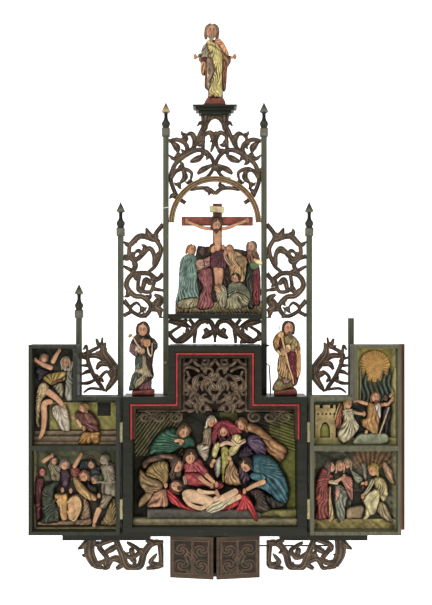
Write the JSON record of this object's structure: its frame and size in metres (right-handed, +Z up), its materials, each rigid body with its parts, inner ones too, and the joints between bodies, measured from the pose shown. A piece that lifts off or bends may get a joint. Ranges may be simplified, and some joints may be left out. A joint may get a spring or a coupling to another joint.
{
  "type": "wall altar",
  "caption": "Carved and painted wooden wall altar: a shrine with a mourning scene, two hinged wings with carved fields, crucifixion group, saints, pierced scroll crest and a small tabernacle.",
  "frame": {"origin": "On the wall, at the middle of the back of the shrine's wide lower part.", "axes": "+X to the viewer's right, +Y back into the wall, +Z up."},
  "size_m": [0.876, 0.0886, 1.2907],
  "materials": {
    "frame_green": "dark grey-green paint, worn",
    "post_green": "grey-green paint",
    "scroll_brown": "brown stain with gilt traces",
    "painted_carving": "many-coloured matt paint",
    "moulding_red": "red bead and brown hollow",
    "plain_board": "brown stained boards",
    "mahogany": "mahogany stain",
    "door_brown": "grey-brown stain",
    "hinge_brass": "pale brass",
    "black_metal": "black",
    "black_plastic": "black"
  },
  "bodies": {
    "altar": {"shrine_back_board": "plain_board", "shrine_case": "frame_green", "shrine_moulding": "moulding_red", "centre_relief": "painted_carving", "centre_tracery": "scroll_brown", "left_main_post": "post_green", "left_middle_post": "post_green", "left_outer_post": "post_green", "right_main_post": "post_green", "right_middle_post": "post_green", "right_outer_post": "post_green", "left_main_finial": "post_green", "left_middle_finial": "post_green", "left_outer_finial": "post_green", "right_main_finial": "post_green", "right_middle_finial": "post_green", "crucifixion_shelf": "frame_green", "scroll_frieze": "scroll_brown", "left_scroll_panel": "scroll_brown", "left_outer_scroll": "scroll_brown", "right_scroll_panel": "scroll_brown", "right_outer_scroll": "scroll_brown", "crest_scrollwork": "scroll_brown", "crest_slab": "post_green", "top_statue": "painted_carving", "left_saint": "painted_carving", "right_saint": "painted_carving", "crucifixion_group": "painted_carving", "left_bottom_bracket": "scroll_brown", "left_bottom_bar": "frame_green", "right_bottom_bracket": "scroll_brown", "right_bottom_bar": "frame_green", "left_shrine_lower_hinge_leaf": "hinge_brass", "left_shrine_upper_hinge_leaf": "hinge_brass", "right_shrine_lower_hinge_leaf": "hinge_brass", "right_shrine_upper_hinge_leaf": "hinge_brass", "tabernacle_box": "mahogany", "switch_strip": "black_plastic", "lead": "black_plastic", "left_post_knob": "hinge_brass", "bottom_rod": "black_metal"},
    "left_wing": {"left_wing_frame": "frame_green", "left_wing_board": "plain_board", "left_wing_upper_relief": "painted_carving", "left_wing_lower_relief": "painted_carving", "left_wing_lower_hinge_leaf": "hinge_brass", "left_wing_upper_hinge_leaf": "hinge_brass"},
    "right_wing": {"right_wing_frame": "frame_green", "right_wing_board": "plain_board", "right_wing_upper_relief": "painted_carving", "right_wing_lower_relief": "painted_carving", "right_wing_lower_hinge_leaf": "hinge_brass", "right_wing_upper_hinge_leaf": "hinge_brass", "right_wing_closing_strip": "mahogany"},
    "left_door": {"left_tabernacle_door": "door_brown"},
    "right_door": {"right_tabernacle_door": "door_brown"}
  },
  "joints": [
    {"name": "left_wing_hinge", "type": "hinge", "parent": "altar", "child": "left_wing", "pos_m": [-0.2155, -0.077, 0.061], "axis": [0, 0, 1], "range_deg": [0, 180]},
    {"name": "right_wing_hinge", "type": "hinge", "parent": "altar", "child": "right_wing", "pos_m": [0.2155, -0.077, 0.061], "axis": [0, 0, -1], "range_deg": [0, 180]},
    {"name": "left_door_hinge", "type": "hinge", "parent": "altar", "child": "left_door", "pos_m": [-0.103, -0.0603, -0.21], "axis": [0, 0, -1], "range_deg": [-9, 100]},
    {"name": "right_door_hinge", "type": "hinge", "parent": "altar", "child": "right_door", "pos_m": [0.103, -0.0603, -0.21], "axis": [0, 0, 1], "range_deg": [-9, 100]}
  ]
}
